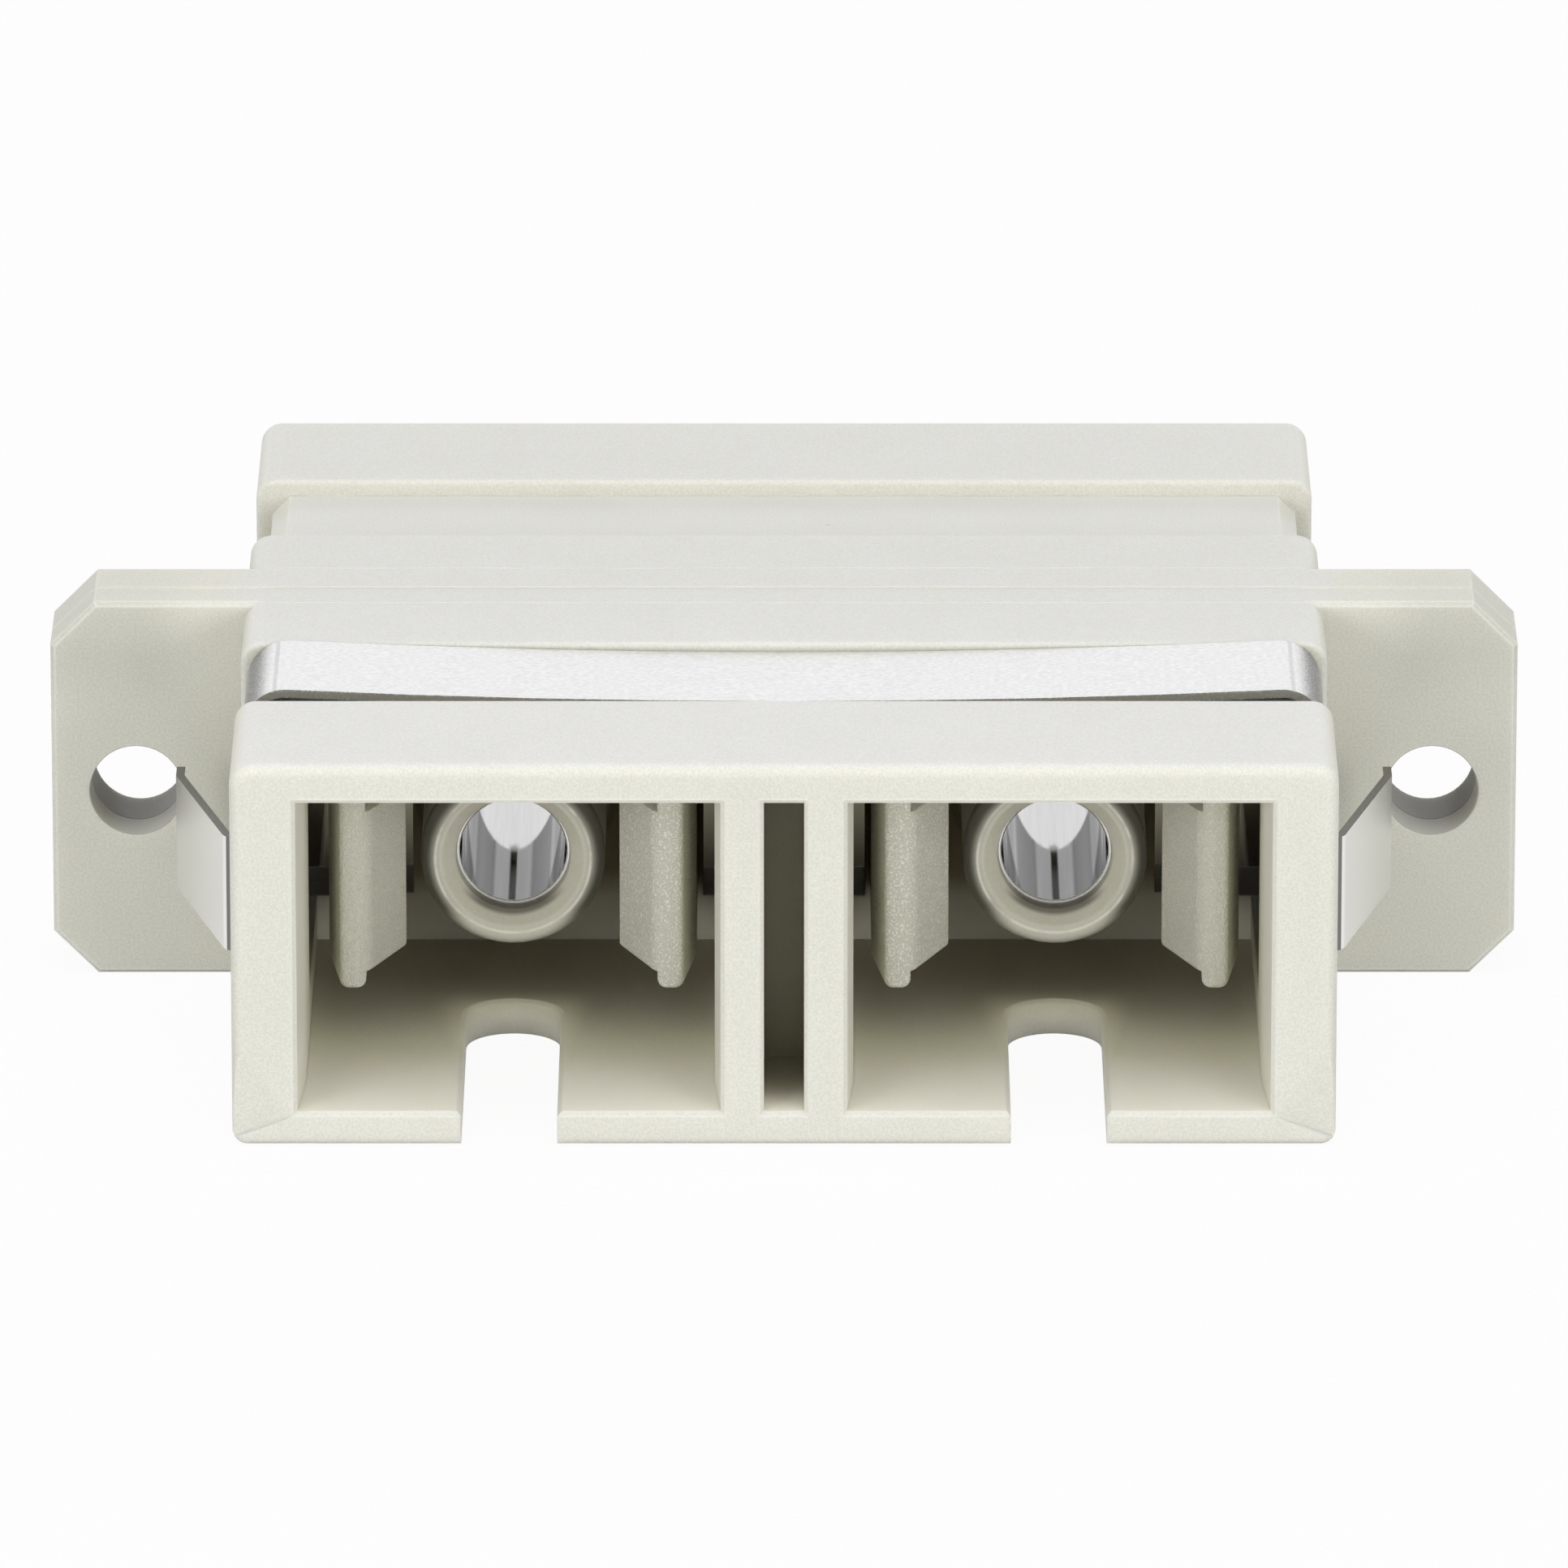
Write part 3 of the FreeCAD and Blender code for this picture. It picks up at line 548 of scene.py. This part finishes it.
def painted_face_light(tree, place, ivory):
    """Ivory with painted light and shade, by where a face lies and looks: a painted cool reflection on top,
    painted shade behind, on the ears and high on their outer corners, and painted light at the seam."""
    axes = split(tree, place)
    facing = split(tree, face_normal(tree))
    from_middle = size_of(tree, axes["X"])
    upward = fade(tree, facing["Z"], *UPWARD)
    sideways = fade(tree, size_of(tree, facing["X"]), *SIDEWAYS)
    on_ears = fade(tree, from_middle, *EARS_X)
    off_ears = rest_of(tree, on_ears)
    rearward = product(tree, rest_of(tree, sideways), off_ears, fade(tree, axes["Y"], *REARWARD_Y))
    corner = product(tree, fade(tree, from_middle, *EAR_CORNERS_X), between(tree, upward, *CORNER_UPWARD),
                     fade(tree, axes["Z"], *EAR_CORNERS_Z))
    # Painted cool reflection on the upper faces, painted shade behind, on the ears and their corners, painted
    # light at the seam
    return cover(tree, ivory, [
        (product(tree, upward, off_ears), TOP_PAINTED_REFLECTION),
        (rearward, REAR_PAINTED_SHADE),
        (on_ears, EAR_PAINTED_SHADE),
        (corner, CORNER_PAINTED_SHADE),
        (cross_line(tree, axes["Y"], SEAM_Y, SEAM_SIDES_WIDTH), SEAM_PAINTED_LIGHT),
        (cross_line(tree, axes["Y"], SEAM_Y, SEAM_LINE_WIDTH), SEAM_LINE_PAINTED_LIGHT)], "MULTIPLY")


def plain_at_seam(tree, place, normal):
    """A normal without its eased edges close to the weld seam and where they turn down, and the share
    of them that the seam leaves."""
    kept = fade(tree, apart(tree, split(tree, place)["Y"], SEAM_Y), *SEAM_CLEARANCE)
    raised = fade(tree, split(tree, normal)["Z"], *NOT_DOWNWARD)
    sockets = {0: product(tree, kept, raised), 4: face_normal(tree), 5: normal}
    return add_node(tree, "ShaderNodeMix", sockets, data_type="VECTOR").outputs[1], kept


def housing_plastic(groups):
    """Ivory shell: satin skin with fine grain, moulding lines across the top and the weld seam; painted light
    and
    shade in its colour: highlights on edges and ridges, light in the port mouths and at the seam, and shade
    deep in the ports, behind, on the ears and in the screw holes.
    """
    material, tree, shader = new_material("ivory_housing")
    grain = use_group(tree, groups["moulded_grain"])
    edges = use_group(tree, groups["soft_edge"], Radius=HOUSING_EDGE)
    port = use_group(tree, groups["port_depth"])
    place = place_mm(tree)
    ridges, seam = moulding_lines(tree, place)
    eased, kept = plain_at_seam(tree, place, edges["Normal"])
    ivory = mix_colours(tree, grain["Tone"], IVORY_SHADE, IVORY)
    ivory = painted_face_light(tree, place, ivory)
    sideways = size_of(tree, split(tree, face_normal(tree))["X"])
    # Painted light just inside the port mouths and around the key slots, less on the side walls
    lit = product(tree, port["Mouth"], between(tree, sideways, *MOUTH_LIGHT_SIDEWAYS))
    ivory = mix_colours(tree, lit, ivory, IVORY_PAINTED_MOUTH_LIGHT)
    # Painted warm light halfway into the ports
    ivory = mix_colours(tree, port["Halfway"], ivory, PORT_PAINTED_WARM_LIGHT, "MULTIPLY")
    ivory = cover(tree, ivory, [
        # Painted highlight along the eased edges, kept off the seam
        (product(tree, edges["Edge"], kept, EDGE_PAINTED_HIGHLIGHT), IVORY_PAINTED_HIGHLIGHT),
        # Painted highlight on the ridges
        (product(tree, ridges, RIDGE_PAINTED_HIGHLIGHT), IVORY_PAINTED_HIGHLIGHT),
        # Painted shade deep in the ports and the pocket
        (port["Depth"], IVORY_PAINTED_DEEP_SHADE),
        # Painted shade in the rear ports
        (product(tree, port["Behind"], BEHIND_SHADE), IVORY_PAINTED_REAR_SHADE),
        # Painted shade in the screw holes
        (screw_hole_painted_shade(tree, place), HOLE_PAINTED_SHADE),
        (product(tree, grain["Speck"], SPECK_STRENGTH), SPECK)])
    relief = calc(tree, "SUBTRACT", ridges, product(tree, seam, SEAM_GROOVE))
    normal = bumped(tree, relief, eased, RIDGE_RELIEF)
    normal = bumped(tree, grain["Height"], normal, HOUSING_RELIEF)
    behind = calc(tree, "MINIMUM", port["Behind"], 1.0)
    rough = between(tree, behind, *HOUSING_ROUGH_BEHIND)
    rough = calc(tree, "MULTIPLY_ADD", grain["Tone"], HOUSING_TONE_ROUGH, rough)
    finish_plastic(tree, shader, HOUSING_SCATTER, Base_Color=ivory, Roughness=rough, Normal=normal)
    return material


def tube_ring(tree, place):
    """Masks of the sleeve tube's front, the broken painted highlight ring where its face ends, and its
    painted
    shade: the round past the ring, which the tube's underside keeps less of, and the lip under the sleeve."""
    axes = split(tree, place)
    radius = off_axis(tree, axes, PORT_X)
    front = calc(tree, "GREATER_THAN", apart(tree, axes["Y"], SEAM_Y), TUBE_FRONT_Y)
    front = product(tree, front, fade(tree, radius, *TUBE_RADIUS))
    broken = fade(tree, noise(tree, place, 1 / RING_BREAK_GRAIN), *RING_BREAKS)
    broken = between(tree, broken, *RING_STRENGTH)
    ring = product(tree, front, fade(tree, apart(tree, radius, TUBE_RING_RADIUS), *TUBE_RING), broken)
    low = fade(tree, axes["Z"], *TUBE_UNDERSIDE_Z)
    past_ring = calc(tree, "SUBTRACT", radius, between(tree, low, *ROUND_START_BELOW))
    shaded = product(tree, fade(tree, past_ring, *TUBE_ROUND), between(tree, low, *ROUND_SHADE_BELOW))
    lip = product(tree, fade(tree, radius, *TUBE_LIP), fade(tree, axes["Z"], *TUBE_LIP_Z), TUBE_LIP_SHADE)
    return front, ring, product(tree, front, calc(tree, "MAXIMUM", shaded, lip))


def plate_shade(tree, along, height):
    """Mask of painted shade on the base plate's upper part and on the walls of its windows, along from the
    seam.
    """
    upper = product(tree, fade(tree, along, *PLATE_Y), fade(tree, height, *PLATE_UPPER_Z), PLATE_UPPER_SHADE)
    windows = product(tree, fade(tree, along, *WINDOWS_Y), WINDOW_SHADE)
    return calc(tree, "MAXIMUM", upper, windows)


def holder_plastic(groups):
    """Latch holder: the same plastic a shade darker, its arms finely pitted; painted glints on the arms,
    painted highlights on its edges and the tube's ring, and painted shade deep in the ports, on the outer
    arms, the plate and the tube.
    """
    material, tree, shader = new_material("ivory_latch_holder")
    grain = use_group(tree, groups["moulded_grain"], Grain=HOLDER_GRAIN, Speck_Spacing=HOLDER_SPECK_SPACING)
    edges = use_group(tree, groups["soft_edge"], Radius=HOLDER_EDGE)
    depth = use_group(tree, groups["port_depth"])["Depth"]
    place = place_mm(tree)
    axes = split(tree, place)
    from_middle = size_of(tree, axes["X"])
    along = apart(tree, axes["Y"], SEAM_Y)
    on_arms = product(tree, fade(tree, apart(tree, from_middle, PORT_X), *ARMS_X), fade(tree, along, *ARMS_Y))
    inner = fade(tree, from_middle, *INNER_ARMS_X)
    tube, ring, tube_shade = tube_ring(tree, place)
    shaded = plate_shade(tree, along, axes["Z"])
    pitted = noise(tree, place, 1 / PIT_GRAIN, PLAIN_DETAIL)
    # Painted glints on the pitted arms, stronger on the inner arms
    glints = product(tree, on_arms, fade(tree, pitted, *PIT_GLINTS), between(tree, inner, *ARM_GLINT_INSIDE))
    ivory = cover(tree, HOLDER_SHADE, [
        (grain["Tone"], HOLDER_IVORY),
        # Painted highlight along the eased edges, weaker on the tube
        (product(tree, edges["Edge"], between(tree, tube, *HOLDER_PAINTED_HIGHLIGHT_ON_TUBE)), IVORY_PAINTED_HIGHLIGHT),
        # Painted shade deep in the ports, and on the outer arms
        (product(tree, depth, between(tree, tube, *DEPTH_ON_TUBE)), HOLDER_PAINTED_SHADE),
        (product(tree, on_arms, rest_of(tree, inner), OUTER_ARM_SHADE), HOLDER_PAINTED_SHADE),
        # Painted shade on the plate's upper part and in its windows
        (shaded, PLATE_PAINTED_SHADE),
        # Painted shade on the tube's round and lip
        (tube_shade, HOLDER_PAINTED_TUBE_SHADE),
        # Painted glints on the arms and the painted highlight ring on the tube
        (calc(tree, "MAXIMUM", glints, ring), IVORY_PAINTED_HIGHLIGHT)])
    pits = product(tree, on_arms, fade(tree, pitted, *PITS))
    normal = bumped(tree, pits, edges["Normal"], PIT_RELIEF)
    normal = bumped(tree, grain["Height"], normal, HOLDER_RELIEF)
    rough = calc(tree, "MULTIPLY_ADD", grain["Tone"], HOLDER_TONE_ROUGH, HOLDER_ROUGH)
    rough = calc(tree, "MULTIPLY_ADD", on_arms, -ARM_POLISH, rough)
    rough = calc(tree, "MULTIPLY_ADD", shaded, PLATE_ROUGH, rough)
    finish_plastic(tree, shader, HOLDER_SCATTER, Base_Color=ivory, Roughness=rough, Normal=normal)
    return material


def clip_zones(tree, place):
    """Masks of the clip's sheared edges, the bends at its top corners, its wings, and where painted glints go
    on edges.
    """
    axes = split(tree, place)
    facing = split(tree, face_normal(tree))
    wing = calc(tree, "GREATER_THAN", size_of(tree, axes["X"]), WING_START_X)
    end_on = calc(tree, "GREATER_THAN", size_of(tree, facing["Y"]), SQUARE_ON)
    upright = product(tree, wing, calc(tree, "GREATER_THAN", size_of(tree, facing["Z"]), SQUARE_ON))
    turned = size_of(tree, facing["X"])
    start = calc(tree, "SUBTRACT", fade(tree, turned, *BEND_START), fade(tree, turned, *BEND_START_END))
    bend = calc(tree, "MULTIPLY_ADD", fade(tree, turned, *BEND_END), -BEND_END_LIGHT,
                fade(tree, turned, *BEND))
    bend = calc(tree, "MAXIMUM", bend, product(tree, start, BEND_START_SHADE))
    bend = product(tree, bend, fade(tree, axes["Z"], *CLIP_TOP_Z))
    sparkle = calc(tree, "MULTIPLY_ADD", upright, WING_CUT_GLINT, rest_of(tree, wing))
    return calc(tree, "MAXIMUM", end_on, upright), bend, wing, sparkle


def clip_steel(groups):
    """Spring steel: satin and finely grained, rougher where it is bent or sheared; dark at the bends, partly
    dull worked steel and mostly painted shade; painted reflections on its wings and sheared faces, darker at
    their edges, with painted glints.
    """
    material, tree, shader = new_material("satin_spring_steel")
    grain = use_metal_grain(tree, groups, STEEL_GRAIN)
    edges = use_group(tree, groups["soft_edge"], Radius=CLIP_EDGE)
    place = place_mm(tree)
    cut, bend, wing, sparkle = clip_zones(tree, place)
    peel = noise(tree, place, 1 / PEEL_GRAIN)
    # Painted shade on the bends, mottled
    mottled = product(tree, bend, between(tree, peel, *PEEL_SPREAD))
    # Darker near the edges of the sheared faces, and on the wings' cut faces
    dark_edges = calc(tree, "MAXIMUM", edges["Edge"], product(tree, wing, WING_DARK_EDGE))
    # Painted glints along the sheared edges
    glints = product(tree, sparkle, between(tree, edges["Edge"], *CUT_GLINT_AT_EDGE),
                     fade(tree, noise(tree, place, 1 / PEEL_GRAIN, PLAIN_DETAIL), *CUT_GLINTS))
    # Painted reflection on the sheared faces, darker at their edges, with painted glints
    painted_cut_face = cover(tree, STEEL_CUT_PAINTED_REFLECTION, [(dark_edges, STEEL_DARK_EDGE), (glints, STEEL)])
    colour = cover(tree, STEEL_DULL, [
        (grain["Tone"], STEEL),
        # Painted reflection on the wings
        (wing, STEEL_WING_PAINTED_REFLECTION),
        # Painted shade on the bends
        (calc(tree, "ADD", bend, mottled), STEEL_BENT_PAINTED_SHADE),
        (cut, painted_cut_face)])
    normal = bumped(tree, grain["Height"], edges["Normal"], STEEL_RELIEF)
    normal = bumped(tree, peel, normal, PEEL_RELIEF)
    rough = between(tree, calc(tree, "MAXIMUM", cut, bend), *STEEL_ROUGH_WORKED)
    set_inputs(tree, shader, Base_Color=colour, Metallic=1.0, Roughness=rough, Normal=normal)
    return material


def sleeve_metal(groups):
    """Polished sleeve: near-mirror, with faint drawing lines along its bore; a painted darker reflection in
    the upper half of the bore, painted dark reflections at its sides, and a painted highlight on its rims.
    """
    material, tree, shader = new_material("polished_sleeve")
    grain = use_metal_grain(tree, groups, SLEEVE_GRAIN)
    eased = use_group(tree, groups["soft_edge"], Radius=SLEEVE_EDGE)["Normal"]
    axes = split(tree, place_mm(tree))
    sides = product(tree, fade(tree, axes["Z"], *SLEEVE_SIDES_LOW_Z),
                    fade(tree, axes["Z"], *SLEEVE_SIDES_HIGH_Z))
    rim = calc(tree, "GREATER_THAN", apart(tree, axes["Y"], SEAM_Y), SLEEVE_RIM_Y)
    colour = cover(tree, SLEEVE_DULL, [
        (grain["Tone"], SLEEVE_METAL),
        # Painted darker reflection in the upper half of the bore
        (fade(tree, axes["Z"], *SLEEVE_ROOF_Z), SLEEVE_ROOF_PAINTED_REFLECTION),
        # Painted dark reflections at the bore's sides
        (sides, SLEEVE_SIDES_PAINTED_REFLECTION),
        # Painted highlight on the rims
        (rim, SLEEVE_RIM_PAINTED_HIGHLIGHT)])
    normal = bumped(tree, grain["Height"], eased, SLEEVE_RELIEF)
    rough = calc(tree, "MULTIPLY_ADD", grain["Tone"], -SLEEVE_TONE_POLISH, SLEEVE_ROUGH)
    rough = calc(tree, "MULTIPLY_ADD", rim, SLEEVE_RIM_ROUGH, rough)
    set_inputs(tree, shader, Base_Color=colour, Metallic=1.0, Roughness=rough, Normal=normal)
    return material


def finish_nodes(nodes):
    """Gives each CAD node the finish of its kind."""
    groups = {"moulded_grain": moulded_grain_group(), "soft_edge": soft_edge_group(),
              "port_depth": port_depth_group(), "metal_grain": metal_grain_group()}
    finishes = {"housing": housing_plastic(groups), "latch_holder": holder_plastic(groups),
                "clip": clip_steel(groups), "sleeve": sleeve_metal(groups)}
    for name, node in nodes.items():
        for kind, material in finishes.items():
            if name.endswith(kind):
                for slot in node.material_slots:
                    slot.material = material


def make_world():
    """White surround: plain white to the eye and in reflections, and a soft light from all sides."""
    world = bpy.data.worlds.new("studio")
    tree = empty_tree(world)
    path = tree.nodes.new("ShaderNodeLightPath").outputs
    seen = calc(tree, "MAXIMUM", path["Is Camera Ray"], path["Is Glossy Ray"])
    seen = calc(tree, "MAXIMUM", seen, path["Is Transmission Ray"])
    sockets = {"Color": WHITE, "Strength": between(tree, seen, AMBIENT, 1.0)}
    glow = add_node(tree, "ShaderNodeBackground", sockets)
    add_node(tree, "ShaderNodeOutputWorld", {"Surface": glow.outputs[0]})
    bpy.context.scene.world = world


def floor_paint():
    """White paint that glows to the eye and, less, in reflections, and takes the part's soft shadow."""
    material = bpy.data.materials.new("white_floor")
    tree = empty_tree(material)
    paint = add_node(tree, "ShaderNodeBsdfDiffuse", {"Color": FLOOR_COLOUR})
    glow = add_node(tree, "ShaderNodeEmission", {"Color": WHITE, "Strength": 1.0})
    path = tree.nodes.new("ShaderNodeLightPath").outputs
    mirrored = calc(tree, "MAXIMUM", path["Is Glossy Ray"], path["Is Transmission Ray"])
    seen = calc(tree, "MULTIPLY", path["Is Camera Ray"], FLOOR_GLOW)
    share = calc(tree, "MULTIPLY_ADD", mirrored, MIRRORED_GLOW, seen)
    mixed = add_node(tree, "ShaderNodeMixShader", {0: share, 1: paint.outputs[0], 2: glow.outputs[0]})
    add_node(tree, "ShaderNodeOutputMaterial", {"Surface": mixed.outputs[0]})
    return material


def make_floor(level):
    """White floor under the part."""
    half = FLOOR_SIZE * MM / 2
    corners = [(-half, -half, level), (half, -half, level), (half, half, level), (-half, half, level)]
    mesh = bpy.data.meshes.new("floor")
    mesh.from_pydata(corners, [], [(0, 1, 2, 3)])
    mesh.materials.append(floor_paint())
    floor = bpy.data.objects.new("floor", mesh)
    bpy.context.scene.collection.objects.link(floor)


def make_softbox(name, place, width, depth, power):
    """Rectangular lamp aimed at the part, and not mirrored by it: shiny faces show the white studio."""
    lamp = bpy.data.lights.new(name, "AREA")
    lamp.shape = "RECTANGLE"
    lamp.size, lamp.size_y = width * MM, depth * MM
    lamp.energy = power
    holder = bpy.data.objects.new(name, lamp)
    holder.visible_glossy = False
    holder.location = Vector(place) * MM
    holder.rotation_euler = (-holder.location).to_track_quat("-Z", "Y").to_euler()
    bpy.context.scene.collection.objects.link(holder)


def make_camera():
    """Camera at the photograph's viewing angle."""
    lens = bpy.data.cameras.new("camera")
    lens.lens, lens.sensor_width = CAMERA_LENS, CAMERA_SENSOR
    lens.clip_start, lens.clip_end = CAMERA_NEAR * MM, CAMERA_FAR * MM
    camera = bpy.data.objects.new("camera", lens)
    camera.location = Vector(CAMERA_PLACE) * MM
    camera.rotation_euler = (math.radians(90 - CAMERA_PITCH), 0, 0)
    bpy.context.scene.collection.objects.link(camera)
    bpy.context.scene.camera = camera


bpy.context.scene.view_settings.view_transform = "Standard"
finish_nodes(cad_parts)
make_world()
make_floor(CAD_BOX[0].z)
for softbox, (spot, wide, deep, watts) in SOFTBOXES.items():
    make_softbox(softbox, spot, wide, deep, watts)
make_camera()
